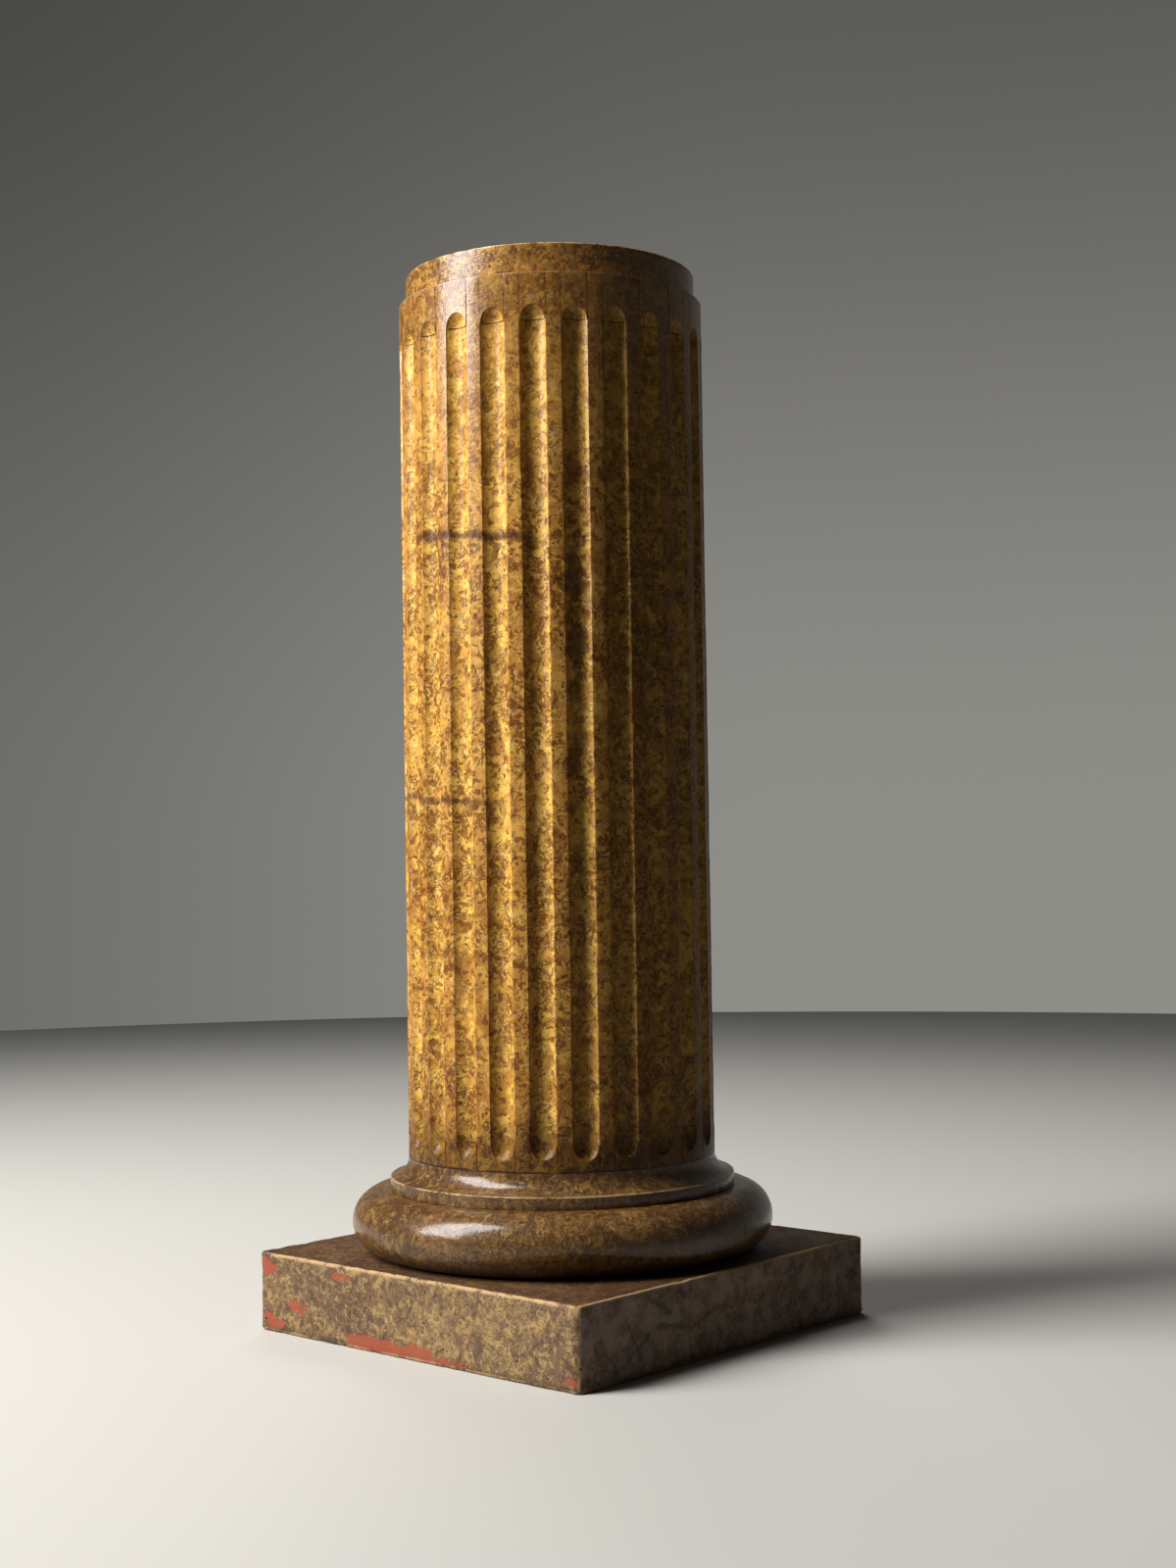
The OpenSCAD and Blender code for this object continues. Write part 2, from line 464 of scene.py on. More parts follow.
def paintMaterial(name, look):  # starts a varnished paint and returns its parts
    made = bpy.data.materials.new(name)
    made.use_nodes = True
    tree = made.node_tree
    tree.nodes.clear()
    place = add(tree, "TexCoord").outputs["Object"]
    shader = add(tree, "BsdfPrincipled", {}, {"IOR": 1.5, "Coat Weight": look["varnish"],
                                              "Coat Roughness": look["varnishRough"], "Coat IOR": 1.5,
                                              "Specular IOR Level": look["sheen"]})
    add(tree, "OutputMaterial", {}, {"Surface": shader})
    return made, tree, place, shader


def varnish(tree, place, shader, colour, height, look):
    # Brushed spirit varnish: fine ridges from the brush, a crackle too fine to see except as glitter
    ridges = add(tree, "TexNoise", {},
                 {"Vector": add(tree, "Mapping", {}, {"Vector": place, "Scale": look["ridgeLie"]}),
                  "Scale": lump / look["ridge"], "Detail": 3, "Roughness": 0.6, "Distortion": 0.3})
    crackle = add(tree, "TexVoronoi", {"feature": "DISTANCE_TO_EDGE"},
                  {"Vector": place, "Scale": 1 / look["crackle"], "Randomness": 1.0})
    lines = add(tree, "MapRange", soften, (crackle, 0.0, 0.06))
    level = add(tree, "Math", timesPlus,
                (ridges, look["ridgeHigh"], add(tree, "Math", times, (lines, look["crackleHigh"]))))
    level = add(tree, "Math", plus, (level, height))
    bump = add(tree, "Bump", {}, {"Strength": 1.0, "Distance": 1.0, "Height": level})
    worn = add(tree, "TexNoise", {},
               {"Vector": add(tree, "Mapping", {}, {"Vector": place, "Location": (4, 4, 4)}),
                "Scale": lump / (30 * mm), "Detail": 3, "Roughness": 0.6})
    roughness = add(tree, "Math", plus,
                    (add(tree, "MapRange", soften, (worn, 0.35, 0.7, 0, look["roughSpread"])),
                     look["rough"]))
    for name, value in (("Base Color", colour), ("Roughness", roughness), ("Normal", bump),
                        ("Coat Normal", bump)):
        tree.links.new(live(value), shader.inputs[name])


def around(tree, place):  # the angle about the column, its radius and the height
    x, y, z = add(tree, "SeparateXYZ", {}, {0: place}).outputs
    angle = add(tree, "Math", bearingOf, (y, x))
    out = add(tree, "Math", squareRoot,
              (add(tree, "Math", plus,
                   (add(tree, "Math", times, (x, x)), add(tree, "Math", times, (y, y)))),))
    return x, y, z, angle, out


def window(tree, value, low, high, soft):  # 1 between two values, with soft ends
    return add(tree, "Math", times,
               (add(tree, "MapRange", soften, (value, low - soft, low + soft)),
                add(tree, "MapRange", soften, (value, high + soft, high - soft))))


def degreesAround(tree, angle, middle):  # degrees from a bearing, for marks anywhere round the column
    turn = add(tree, "Math", minus, (angle, math.radians(middle)))
    return add(tree, "Math", times, (add(tree, "Math", wrap, (turn, math.pi, -math.pi)), 180 / math.pi))


ochrePaint = {
    "ground": "#DAA54C", "deep": "#BE8938", "bright": "#F2C45A", "brightMost": 0.75, "glaze": "#955F24",
    "umber": "#6C390D", "dark": "#43260C", "curlColour": "#F8DA8C",
    "patchMost": 0.36, "commaMost": 0.72, "blotMost": 0.55, "curlMost": 0.5,
    "sparse": 0.575, "crowding": 0.13,
    "cloud": 90 * mm, "dab": 9 * mm, "patch": 11 * mm, "crowd": 40 * mm, "comma": 6.75 * mm, "gate": 5 * mm,
    "blot": 5 * mm, "curl": 6.5 * mm, "curlGate": 7 * mm, "speck": 2.6 * mm,
    "varnish": 0.2, "varnishRough": 0.2, "sheen": 0.1, "rough": 0.45, "roughSpread": 0.16,
    "ridge": 2.4 * mm, "ridgeLie": (0.8, 0.8, 1.2), "ridgeHigh": 0.34 * mm,
    "crackle": 1.6 * mm, "crackleHigh": 0.004 * mm}
mouldingPaint = dict(
    ochrePaint, ground="#714E27", deep="#593B1C", bright="#8A6537", glaze="#4A341E", umber="#372412",
    curlColour="#AE8C54", sparse=0.54, commaMost=0.6, blotMost=0.45,
    dab=7 * mm, patch=8 * mm, comma=4.95 * mm, gate=4 * mm, blot=4 * mm,
    varnish=0.62, varnishRough=0.14, rough=0.4, ridgeHigh=0.12 * mm)
plinthPaint = dict(
    ochrePaint, ground="#9B7B51", deep="#705540", bright="#BA9B62", brightMost=0.65, glaze="#6B5142",
    umber="#523C2E", curlColour="#CBAC72", sparse=0.53, commaMost=0.62, blotMost=0.5, patchMost=0.6,
    cloud=60 * mm, dab=6 * mm, patch=8 * mm, comma=4.95 * mm, gate=4 * mm, blot=4 * mm, curl=5 * mm,
    varnish=0.1, varnishRough=0.3, rough=0.52, sheen=0.2, ridgeHigh=0.12 * mm)
collarPaint = dict(
    ochrePaint, ground="#A67737", deep="#8A5E28", bright="#BF8D3D", umber="#54300E", curlColour="#DDB664",
    sparse=0.53, curlMost=0.35, comma=5.4 * mm, gate=4.4 * mm, blot=4.6 * mm,
    varnish=0.62, varnishRough=0.17, rough=0.38, ridge=2.2 * mm, ridgeLie=(0.6, 0.6, 1.3), ridgeHigh=0.5 * mm)

stains = [  # dark tide lines: bearing of the middle, half width in degrees, height, fall with each degree
    {"bearing": -82, "half": 27, "level": 737 * mm, "fall": -0.22 * mm, "thick": 7.6 * mm, "most": 0.85},
    {"bearing": -100, "half": 30, "level": 497 * mm, "fall": -0.20 * mm, "thick": 6.4 * mm, "most": 0.6},
    {"bearing": 118, "half": 20, "level": 742 * mm, "fall": 0.05 * mm, "thick": 3.2 * mm, "most": 0.45}]
blotches = [  # damp marks: bearing, height, half width in degrees, half height
    {"bearing": -40, "level": 690 * mm, "wide": 3.4, "tall": 22 * mm},
    {"bearing": -39, "level": 630 * mm, "wide": 2.8, "tall": 26 * mm},
    {"bearing": -40, "level": 590 * mm, "wide": 3.2, "tall": 14 * mm},
    {"bearing": -41, "level": 525 * mm, "wide": 2.8, "tall": 14 * mm}]
shaftTone = {  # heights between which the shaft's finish changes
    "brownFrom": 820 * mm, "brownTo": 950 * mm, "glossFrom": 800 * mm, "glossTo": 960 * mm,
    "dirtFrom": 300 * mm, "oliveFrom": 215 * mm, "oliveTo": 175 * mm,
    "fewerFrom": shaftHigh.z - 260 * mm, "fewerTo": shaftHigh.z - 110 * mm}


def finishShaft():
    # yellow-ochre faux marble on turned softwood, varnished, its arrises rubbed through to the pale ground
    look, tone = ochrePaint, shaftTone
    made, tree, place, shader = paintMaterial("ochreMarblePaint", look)
    x, y, z, angle, out = around(tree, place)
    fewer = add(tree, "Math", minus,
                (1.0, add(tree, "MapRange", soften, (z, tone["fewerFrom"], tone["fewerTo"], 0, 0.32))))
    # fewer strokes were flicked in near the top
    colour, flecks, patches, crowd = marbling(tree, place, look, fewer)
    wobble = add(tree, "Math", minus,
                 (add(tree, "TexNoise", {},
                      {"Vector": place, "Scale": lump / (12 * mm), "Detail": 3, "Roughness": 0.6}), 0.5))
    for mark in stains:
        away = degreesAround(tree, angle, mark["bearing"])
        level = add(tree, "Math", timesPlus, (away, mark["fall"], mark["level"]))
        level = add(tree, "Math", timesPlus, (wobble, 14 * mm, level))
        line = add(tree, "MapRange", soften,
                   (add(tree, "Math", absolute, (add(tree, "Math", minus, (z, level)),)), mark["thick"],
                    mark["thick"] * 0.15))
        drip = window(tree, add(tree, "Math", minus, (level, z)), 0, 18 * mm, 7 * mm)
        drip = add(tree, "Math", times, (drip, add(tree, "MapRange", soften, (patches, 0.0, 1.0, 0, 0.7))))
        line = add(tree, "Math", times,
                   (add(tree, "Math", larger, (line, drip)),
                    window(tree, away, -mark["half"], mark["half"], 4)))
        colour = add(tree, "Mix", cover,
                     {0: add(tree, "Math", times, (line, mark["most"])), 6: colour, 7: "#55301C"})
    for mark in blotches:
        away = add(tree, "Math", over, (degreesAround(tree, angle, mark["bearing"]), mark["wide"]))
        rise = add(tree, "Math", over, (add(tree, "Math", minus, (z, mark["level"])), mark["tall"]))
        far = add(tree, "Math", squareRoot,
                  (add(tree, "Math", plus,
                       (add(tree, "Math", times, (away, away)), add(tree, "Math", times, (rise, rise)))),))
        far = add(tree, "Math", timesPlus, (wobble, 5.0, far))
        colour = add(tree, "Mix", cover,
                     {0: add(tree, "MapRange", soften, (far, 1.25, 0.6, 0, 0.6)), 6: colour, 7: "#3A210F"})
    # the arrises are rubbed through to the pale ground, in patches
    phase = add(tree, "Math", wrap, (add(tree, "Math", minus, (angle, firstFlute)), pitch / 2, -pitch / 2))
    halfFlute = math.asin(shaftLook["fluteWide"] / 2 / shaftR)
    across = add(tree, "Math", times,
                 (add(tree, "Math", absolute,
                      (add(tree, "Math", minus, (add(tree, "Math", absolute, (phase,)), halfFlute)),)),
                  shaftR))
    rubbed = add(tree, "TexNoise", {},
                 {"Vector": add(tree, "Mapping", {}, {"Vector": place, "Location": (6, 1, 1)}),
                  "Scale": lump / (9 * mm), "Detail": 3, "Roughness": 0.65})
    arris = add(tree, "Math", times,
                (add(tree, "MapRange", soften, (across, 1.1 * mm, 0.3 * mm)),
                 add(tree, "MapRange", soften, (rubbed, 0.48, 0.6))))
    inStraight = window(tree, z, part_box("foot_stop_1")[1].z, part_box("head_stop_1")[0].z, mm)
    arris = add(tree, "Math", times, (arris, inStraight))
    colour = add(tree, "Mix", cover, {0: add(tree, "Math", times, (arris, 0.4)), 6: colour, 7: "#E9CB92"})
    # the ledge's edge is painted pale, partly rubbed through and partly a painted highlight; dirt has gathered at
    # the foot, and the flutes are darker in patches
    rim = add(tree, "Math", times,
              (add(tree, "MapRange", soften, (z, shaftHigh.z - 1.6 * mm, shaftHigh.z - 0.3 * mm)),
               add(tree, "MapRange", soften, (rubbed, 0.36, 0.5))))
    colour = add(tree, "Mix", cover, {0: add(tree, "Math", times, (rim, 0.75)), 6: colour, 7: "#E8D0A4"})
    hollow = add(tree, "MapRange", soften, (out, shaftR - mm, shaftR - 6.0 * mm))
    proud = add(tree, "MapRange", soften, (out, shaftR - 1.4 * mm, shaftR - 0.6 * mm))
    # painted reflection: the fillets dulled to a pinkish tan
    colour = add(tree, "Mix", tint, {0: proud, 6: colour, 7: "#E2D6D2"})
    topBrown = add(tree, "Math", times,
                   (add(tree, "MapRange", soften, (z, tone["brownFrom"], tone["brownTo"])), proud))
    # the band has taken more brown glaze
    colour = add(tree, "Mix", tint, {0: topBrown, 6: colour, 7: "#D8D3CB"})
    footDirt = add(tree, "Math", times,
                   (add(tree, "MapRange", soften, (z, tone["dirtFrom"], shaftLow.z)),
                    add(tree, "MapRange", soften, (crowd, 0.3, 0.6, 0, 0.45))))
    colour = add(tree, "Mix", tint, {0: footDirt, 6: colour, 7: "#A39C92"})
    colour = add(tree, "Mix", tint,
                 {0: add(tree, "MapRange", soften, (z, tone["oliveFrom"], tone["oliveTo"])), 6: colour,
                  7: "#B3AD9B"})
    # darker in the hollows of the flutes, in patches
    darkened = add(tree, "Math", times, (hollow, add(tree, "MapRange", soften, (patches, 0.0, 1.0, 0, 0.25))))
    colour = add(tree, "Mix", cover, {0: darkened, 6: colour, 7: "#6E4A1E"})
    inFlute = add(tree, "MapRange", soften, (out, shaftR - 0.8 * mm, shaftR - 2.0 * mm))
    for level, most in ((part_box("head_stop_1")[0].z, 0.65), (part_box("foot_stop_1")[1].z, 0.3)):  # open joints
        joint = add(tree, "Math", minus, (add(tree, "Math", timesPlus, (wobble, 1.5 * mm, z)), level))
        joint = add(tree, "MapRange", soften,
                    (add(tree, "Math", absolute, (joint,)), 0.8 * mm, 0.2 * mm, 0, most))
        colour = add(tree, "Mix", cover,
                     {0: add(tree, "Math", times, (joint, inFlute)), 6: colour, 7: "#2A1A0C"})
    seam = add(tree, "Math", plus, (add(tree, "Math", times, (wobble, 5 * mm)), z))
    colour = add(tree, "Mix", cover,
                 {0: add(tree, "MapRange", soften,
                         (seam, shaftLow.z + 2.2 * mm, shaftLow.z + 1.0 * mm, 0, 0.85)), 6: colour,
                  7: "#20140A"})
    height = add(tree, "Math", times, (flecks, -0.03 * mm))
    varnish(tree, place, shader, colour, height, look)
    # more varnish round the top band
    gloss = add(tree, "Math", times,
                (add(tree, "MapRange", soften, (z, tone["glossFrom"], tone["glossTo"], 0, 0.55)), proud))
    gloss = add(tree, "Math", plus, (gloss, look["varnish"]))
    tree.links.new(live(gloss), shader.inputs["Coat Weight"])
    return made


def finishMoulding():
    # the same paint gone olive under older varnish, on the turned roll and ring
    look = mouldingPaint
    made, tree, place, shader = paintMaterial("oliveMarblePaint", look)
    colour, flecks, patches, crowd = marbling(tree, place, look)
    x, y, z, angle, out = around(tree, place)
    ringLow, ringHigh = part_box("base_ring")
    torusLow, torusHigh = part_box("torus")
    rubbed = add(tree, "TexNoise", {},
                 {"Vector": add(tree, "Mapping", {}, {"Vector": place, "Location": (6, 1, 1)}),
                  "Scale": lump / (8 * mm), "Detail": 3, "Roughness": 0.65})
    filletTop = ringHigh.z - (ringHigh.x - shaftR)
    edge = add(tree, "Math", times,
               (window(tree, z, filletTop - 1.2 * mm, filletTop + 0.8 * mm, 0.4 * mm),
                add(tree, "MapRange", soften, (out, ringHigh.x - 2 * mm, ringHigh.x - 0.6 * mm))))
    edge = add(tree, "Math", times, (edge, add(tree, "MapRange", soften, (rubbed, 0.36, 0.52))))
    colour = add(tree, "Mix", cover, {0: add(tree, "Math", times, (edge, 0.55)), 6: colour, 7: "#D2B78A"})
    # painted shade on the underside of the roll, darkest where it meets the plinth
    under = add(tree, "MapRange", soften, (z, torusLow.z + 20 * mm, torusLow.z + 2 * mm, 0, 0.8))
    colour = add(tree, "Mix", cover, {0: under, 6: colour, 7: "#2A1D10"})
    height = add(tree, "Math", times, (flecks, -0.03 * mm))
    varnish(tree, place, shader, colour, height, look)
    return made


def finishCollar():
    # ochre marbling with glossier varnish, its upper edge knocked pale
    look = collarPaint
    made, tree, place, shader = paintMaterial("glossyOchreMarblePaint", look)
    colour, flecks, patches, crowd = marbling(tree, place, look)
    x, y, z, angle, out = around(tree, place)
    low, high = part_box("collar")
    rubbed = add(tree, "TexNoise", {},
                 {"Vector": add(tree, "Mapping", {}, {"Vector": place, "Location": (6, 1, 1)}),
                  "Scale": lump / (7 * mm), "Detail": 3, "Roughness": 0.65})
    edge = add(tree, "Math", times,
               (add(tree, "MapRange", soften, (z, high.z - 1.8 * mm, high.z - 0.6 * mm)),
                add(tree, "MapRange", soften, (rubbed, 0.4, 0.55))))
    edge = add(tree, "Math", times,
               (edge, add(tree, "MapRange", soften, (out, high.x - 3 * mm, high.x - 1.5 * mm))))
    colour = add(tree, "Mix", cover, {0: add(tree, "Math", times, (edge, 0.7)), 6: colour, 7: "#DDBF8C"})
    # the unseen top: duller, with the ring of a pot
    above = add(tree, "MapRange", soften, (z, high.z - 0.6 * mm, high.z - 0.2 * mm))
    colour = add(tree, "Mix", tint, {0: above, 6: colour, 7: "#B5ADA2"})
    potRing = add(tree, "MapRange", soften,
                  (add(tree, "Math", absolute, (add(tree, "Math", minus, (out, 92 * mm)),)), 3.5 * mm,
                   1.5 * mm, 0, 0.4))
    potRing = add(tree, "Math", times,
                  (add(tree, "Math", times, (potRing, above)),
                   add(tree, "MapRange", soften, (rubbed, 0.35, 0.55))))
    colour = add(tree, "Mix", cover, {0: potRing, 6: colour, 7: "#4A2F16"})
    seam = add(tree, "MapRange", soften, (z, low.z + 1.6 * mm, low.z + 0.7 * mm, 0, 0.7))
    colour = add(tree, "Mix", cover, {0: seam, 6: colour, 7: "#24160B"})
    height = add(tree, "Math", times, (flecks, -0.03 * mm))
    varnish(tree, place, shader, colour, height, look)
    return made


plinthMarks = {  # face, from and to as mm along the face and up, and half the width in mm
    "red": [  # paint gone down to red bole
        ("front", (-74, 6.5), (28, 7.5), 8.5), ("front", (30, 4), (72, 5), 2.6),
        ("front", (-203, 62), (-184, 59), 7), ("front", (-194, 13), (-176, 7), 8),
        ("front", (-158, 30), (-142, 26), 5.5), ("front", (191, 9), (198, 9), 3.4),
        ("front", (-96, 63), (-78, 62), 4), ("front", (-203, 44), (-203, 24), 3),
        ("left", (150, 8), (196, 10), 6), ("left", (-40, 66), (-28, 68), 4),
        ("back", (-196, 60), (-188, 40), 5), ("back", (60, 5), (92, 6), 4)],
    "vein": [  # brush-drawn veins and soaked-in cracks
        ("right", (-142, 47), (-134, 31), 4.4), ("right", (-134, 31), (-127, 17), 4.2),
        ("right", (-130, 24), (-117, 34), 3.4), ("right", (-117, 66), (-86, 48), 4.2),
        ("right", (-104, 40), (-60, 33), 3.6), ("right", (-73, 66), (-68, 61), 5.5),
        ("right", (-60, 30), (-20, 44), 3.2), ("back", (-40, 20), (5, 52), 1.3),
        ("left", (20, 18), (60, 40), 1.2)],
    "pale": [  # fresh knocks
        ("right", (-190, 62), (-187, 60), 1.6), ("front", (-30, 71), (-12, 71), 1.3),
        ("front", (120, 71), (131, 71), 1.2), ("back", (130, 70), (150, 71), 1.4)],
    "hole": [  # nail holes and pits
        ("front", (-194, 11), (-194, 11), 1.5), ("right", (-201, 21), (-201, 21), 1.3),
        ("right", (-194, 10), (-194, 10), 1.1), ("left", (-190, 14), (-190, 14), 1.3)]}


def reach(tree, u, v, start, end):  # how far a point of a face lies from a short straight mark
    du, dv = end[0] - start[0], end[1] - start[1]
    square = (du ** 2 + dv ** 2) or 1.0
    fromU = add(tree, "Math", minus, (u, start[0] * mm))
    fromV = add(tree, "Math", minus, (v, start[1] * mm))
    along = add(tree, "Math", times, (fromU, du / square / mm))
    along = add(tree, "Math", timesPlus, (fromV, dv / square / mm, along))
    along = add(tree, "Math", smaller, (add(tree, "Math", larger, (along, 0.0)), 1.0))
    fromU = add(tree, "Math", timesPlus, (along, -du * mm, fromU))
    fromV = add(tree, "Math", timesPlus, (along, -dv * mm, fromV))
    return add(tree, "Math", squareRoot,
               (add(tree, "Math", timesPlus, (fromU, fromU, add(tree, "Math", times, (fromV, fromV)))),))


def finishPlinth():
    # olive-brown sponged paint over red bole on a softwood block, dry-looking, chipped to bole and bare wood
    look = plinthPaint
    made, tree, place, shader = paintMaterial("spongedOlivePaint", look)
    colour, flecks, patches, crowd = marbling(tree, place, look)
    x, y, z, angle, out = around(tree, place)
    low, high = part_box("plinth")
    half = high.x
    ragged = add(tree, "Math", minus,
                 (add(tree, "TexNoise", {},
                      {"Vector": place, "Scale": lump / (9 * mm), "Detail": 4, "Roughness": 0.65,
                       "Distortion": 0.5}), 0.5))
    ragged = add(tree, "Math", times, (ragged, mm))
    minusX, minusY = add(tree, "Math", times, (x, -1)), add(tree, "Math", times, (y, -1))
    faces = {"front": (x, minusY), "right": (y, x), "back": (minusX, y), "left": (minusY, minusX)}
    masks = {}
    for kind, rough, soft in (("red", 26, 0.6), ("vein", 12, 0.05), ("pale", 5, 0.4), ("hole", 0, 0.6)):
        masks[kind] = 0.0
        for face, start, end, thick in plinthMarks[kind]:
            u, facing = faces[face]
            far = add(tree, "Math", timesPlus, (ragged, rough, reach(tree, u, z, start, end)))
            mark = add(tree, "Math", times,
                       (add(tree, "MapRange", soften, (far, thick * mm, thick * soft * mm)),
                        add(tree, "MapRange", soften, (facing, half - 3 * mm, half - mm))))
            masks[kind] = add(tree, "Math", larger, (masks[kind], mark))
    # crumbs of paint still holding
    crumbs = add(tree, "TexNoise", {},
                 {"Vector": add(tree, "Mapping", {}, {"Vector": place, "Location": (3, 8, 3)}),
                  "Scale": lump / (4 * mm), "Detail": 3, "Roughness": 0.7, "Distortion": 0.6})
    red = add(tree, "Math", times,
              (masks["red"], add(tree, "MapRange", soften, (crumbs, 0.66, 0.58, 0, 0.92))))
    fromX = add(tree, "Math", minus, (half, add(tree, "Math", absolute, (x,))))
    fromY = add(tree, "Math", minus, (half, add(tree, "Math", absolute, (y,))))
    edgeIn = add(tree, "Math", smaller, (fromX, fromY))
    cornerIn = add(tree, "Math", larger, (fromX, fromY))
    levelIn = add(tree, "Math", smaller,
                  (add(tree, "Math", minus, (high.z, z)), add(tree, "Math", minus, (z, low.z))))
    rubbed = add(tree, "TexNoise", {},
                 {"Vector": add(tree, "Mapping", {}, {"Vector": place, "Location": (6, 1, 1)}),
                  "Scale": lump / (10 * mm), "Detail": 4, "Roughness": 0.7})
    topEdge = add(tree, "MapRange", soften,
                  (add(tree, "Math", plus, (edgeIn, levelIn)), 4.0 * mm, 2.0 * mm))
    topEdge = add(tree, "Math", times, (topEdge, add(tree, "MapRange", soften, (rubbed, 0.4, 0.52))))
    bareEdge = add(tree, "Math", times,
                   (add(tree, "MapRange", soften, (cornerIn, 4.5 * mm, 2.6 * mm)),
                    add(tree, "MapRange", soften, (rubbed, 0.44, 0.56))))
    settled = add(tree, "Math", times,
                  (add(tree, "MapRange", soften, (z, high.z - 2.4 * mm, high.z - 1.2 * mm)),
                   add(tree, "MapRange", soften, (edgeIn, 1.5 * mm, 4 * mm))))
    # years of dust waxed into the upper face
    colour = add(tree, "Mix", tint, {0: settled, 6: colour, 7: "#A5968A"})
    drag = add(tree, "TexNoise", {},
               {"Vector": add(tree, "Mapping", {},
                              {"Vector": place, "Location": (1, 3, 7), "Scale": (0.12, 1, 1)}),
                "Scale": lump / (3 * mm), "Detail": 3, "Roughness": 0.6})
    colour = add(tree, "Mix", cover,
                 {0: add(tree, "Math", times,
                         (settled, add(tree, "MapRange", soften, (drag, 0.45, 0.62, 0, 0.4)))), 6: colour,
                  7: "#4A3422"})
    paintedSideLight = add(tree, "Math", times,
                (add(tree, "MapRange", soften, (x, half - 3 * mm, half - mm)),
                 add(tree, "MapRange", soften, (rubbed, 0.66, 0.34, 0, 0.75))))
    # painted light: one face made paler and pinkish grey, in patches
    colour = add(tree, "Mix", cover, {0: paintedSideLight, 6: colour, 7: "#DCC0B0"})
    # a line scribed round the upper face where the roll was set out
    scribed = add(tree, "MapRange", soften,
                  (add(tree, "Math", absolute, (add(tree, "Math", minus, (edgeIn, 13 * mm)),)), 0.9 * mm,
                   0.3 * mm, 0, 0.45))
    colour = add(tree, "Mix", cover,
                 {0: add(tree, "Math", times, (scribed, settled)), 6: colour, 7: "#38271A"})
    colour = add(tree, "Mix", cover,
                 {0: add(tree, "Math", times, (masks["vein"], 0.66)), 6: colour, 7: "#24160D"})
    # painted shade along the foot, where the block meets the floor
    darkened = add(tree, "MapRange", soften, (z, low.z + 9 * mm, low.z, 0, 0.5))
    colour = add(tree, "Mix", cover, {0: darkened, 6: colour, 7: "#33261A"})
    colour = add(tree, "Mix", cover, {0: red, 6: colour, 7: "#A5513A"})
    bare = add(tree, "Math", larger, (add(tree, "Math", larger, (topEdge, bareEdge)), masks["pale"]))
    colour = add(tree, "Mix", cover, {0: add(tree, "Math", times, (bare, 0.7)), 6: colour, 7: "#CDA678"})
    colour = add(tree, "Mix", cover, {0: masks["hole"], 6: colour, 7: "#120C08"})
    height = add(tree, "Math", timesPlus, (flecks, -0.05 * mm, add(tree, "Math", times, (red, -0.25 * mm))))
    height = add(tree, "Math", timesPlus, (masks["hole"], -1.0 * mm, height))
    varnish(tree, place, shader, colour, height, look)
    return made


def dress(piece, material):
    piece.data.materials.clear()
    piece.data.materials.append(material)


# The studio: one tall softbox like a window, a weak fill behind, a pale floor

studio = {
    "away": 2.0728, "bearing": -47.265, "height": 0.4435, "aim": (0.0230, 0.0194, 0.5124), "roll": -0.854,
    "lens": 49.44, "sensor": 36, "nearClip": 0.01, "viewX": 0.67, "viewY": 0.74,
    "floorR": 4.0, "floorRough": 0.75, "floorColour": "#C2BFB8", "floorFarShade": "#7B7A76",
    "floorBounce": "#605E59", "floorFade": (0.5, 3.4),
    "wallLow": "#8E8D88", "wallHigh": "#5A5955", "wallShade": "#C4C4C4", "wallFade": (0.0, 0.42),
    "shadeFade": (0.1, -0.35), "worldColour": "#D2C8BC", "worldStrength": 0.012, "lampAim": (0, 0, 0.5),
    "keyPower": 246, "keyBearing": -120, "keyAway": 2.6, "keyHeight": 2.45, "keySize": (1.5, 3.0),
    "fillPower": 45, "fillBearing": 140, "fillAway": 3.0, "fillHeight": 2.2, "fillSize": (1.5, 1.5)}


def onCircle(bearing, away, height):
    return Vector((away * math.cos(math.radians(bearing)), away * math.sin(math.radians(bearing)), height))


def aimed(name, data, place, target, roll=0.0):
    made = bpy.data.objects.new(name, data)
    bpy.context.collection.objects.link(made)
    turn = (Vector(target) - place).to_track_quat("-Z", "Y").to_matrix().to_4x4()
    made.matrix_world = Matrix.Translation(place) @ turn @ Matrix.Rotation(math.radians(roll), 4, "Z")
    return made


def setCamera():
    data = bpy.data.cameras.new("camera")
    data.lens = studio["lens"]
    data.sensor_width = studio["sensor"]
    data.clip_start = studio["nearClip"]
    place = onCircle(studio["bearing"], studio["away"], studio["height"])
    bpy.context.scene.camera = aimed("camera", data, place, studio["aim"], studio["roll"])


def softbox(name, power, bearing, away, height, size):
    data = bpy.data.lights.new(name, "AREA")
    data.shape = "RECTANGLE"
    data.size, data.size_y = size
    data.energy = power
    return aimed(name, data, onCircle(bearing, away, height), studio["lampAim"])


def looked(tree):  # 1 where a backdrop is looked at, mirrored or seen through, not where it throws light
    rays = add(tree, "LightPath").outputs
    seen = add(tree, "Math", plus, (rays["Is Camera Ray"], rays["Is Glossy Ray"]))
    return add(tree, "Math", plus, (seen, rays["Is Transmission Ray"]))


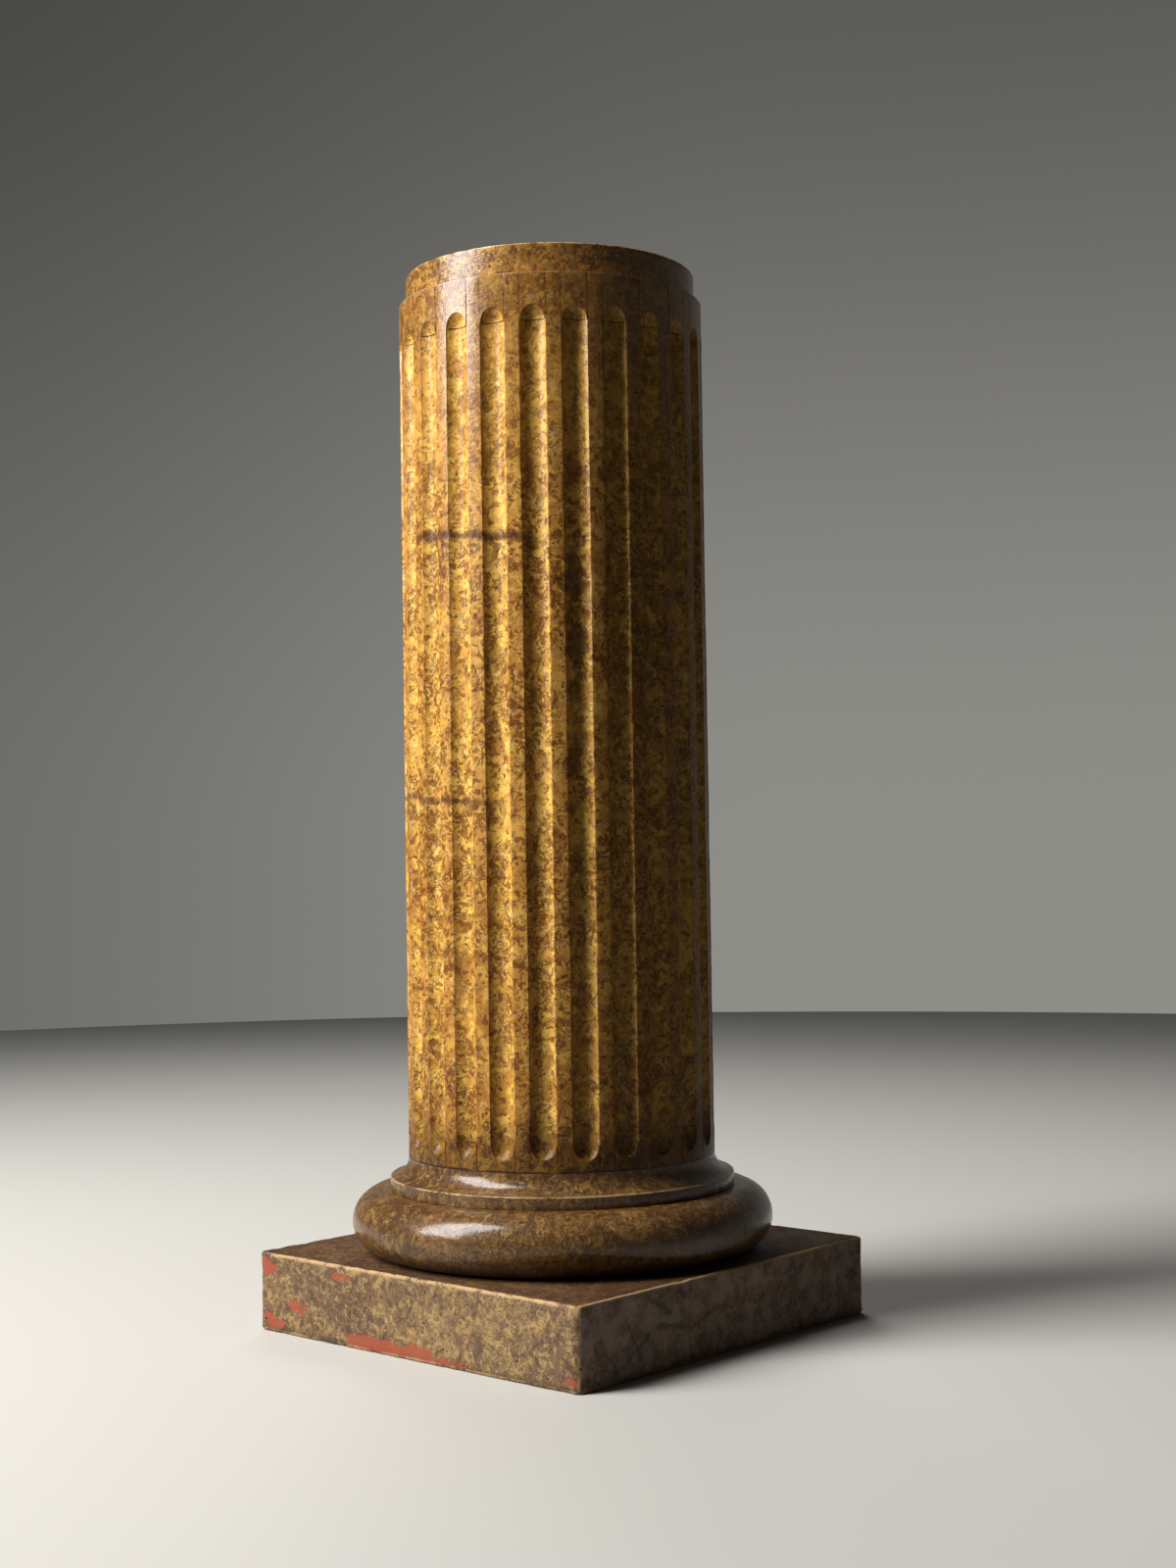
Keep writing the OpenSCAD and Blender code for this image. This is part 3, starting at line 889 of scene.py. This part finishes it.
def setFloor():
    # matt painted board: pale and even, with painted shade darkening it far off
    look = studio
    bpy.ops.mesh.primitive_circle_add(vertices=128, radius=look["floorR"], fill_type="NGON")
    floor = bpy.context.object
    floor.name = "studioFloor"
    made = bpy.data.materials.new("paleFloor")
    made.use_nodes = True
    tree = made.node_tree
    x, y, z = add(tree, "SeparateXYZ", {}, (add(tree, "TexCoord").outputs["Object"],)).outputs
    away = add(tree, "Math", times, (x, look["viewX"]))
    away = add(tree, "Math", minus, (add(tree, "Math", times, (y, look["viewY"])), away))
    far = add(tree, "MapRange", soften, (away, *look["floorFade"]))
    pale = add(tree, "Mix", cover, {0: far, 6: look["floorColour"], 7: look["floorFarShade"]})
    shade = add(tree, "Mix", cover, {0: looked(tree), 6: look["floorBounce"], 7: pale})
    shader = tree.nodes["Principled BSDF"]
    tree.links.new(live(shade), shader.inputs["Base Color"])
    shader.inputs["Roughness"].default_value = look["floorRough"]
    dress(floor, made)


def setWorld():
    # a grey wall, lighter low down and to the right
    look = studio
    world = bpy.data.worlds.new("softRoom")
    bpy.context.scene.world = world
    world.use_nodes = True
    tree = world.node_tree
    tree.nodes.clear()
    soft = add(tree, "Background", {}, {"Color": look["worldColour"], "Strength": look["worldStrength"]})
    x, y, high = add(tree, "SeparateXYZ", {}, (add(tree, "TexCoord").outputs["Generated"],)).outputs
    rise = add(tree, "MapRange", soften, (high, *look["wallFade"]))
    wall = add(tree, "Mix", cover, {0: rise, 6: look["wallLow"], 7: look["wallHigh"]})
    side = add(tree, "Math", times, (y, look["viewX"]))
    side = add(tree, "Math", timesPlus, (x, look["viewY"], side))
    side = add(tree, "MapRange", soften, (side, *look["shadeFade"]))
    wall = add(tree, "Mix", tint, {0: side, 6: wall, 7: look["wallShade"]})
    seen = add(tree, "Background", {}, {"Color": wall, "Strength": 1.0})
    mix = add(tree, "MixShader", {}, (looked(tree), soft, seen))
    add(tree, "OutputWorld", {}, {"Surface": mix})


def setLamps():
    look = studio
    softbox("key", look["keyPower"], look["keyBearing"], look["keyAway"], look["keyHeight"], look["keySize"])
    fill = softbox("fill", look["fillPower"], look["fillBearing"], look["fillAway"], look["fillHeight"],
                   look["fillSize"])
    fill.visible_glossy = False
    bpy.context.scene.view_settings.view_transform = "Standard"


# The camera first, then every piece, its finish and the studio

setCamera()
plinth = makePlinth()
print("plinth block made")
torus = makeTorus()
ring = makeBaseRing()
print("mouldings made")
shaft = makeShaft()
print("shaft fluted")
stops = makeStops()
print("flute stops let in")
collar = makeCollar()
print("collar made")
dress(plinth, finishPlinth())
moulding = finishMoulding()
dress(torus, moulding)
dress(ring, moulding)
ochre = finishShaft()
for piece in [shaft] + stops:
    dress(piece, ochre)
dress(collar, finishCollar())
print("finishes laid on")
setFloor()
setWorld()
setLamps()
print("studio set")
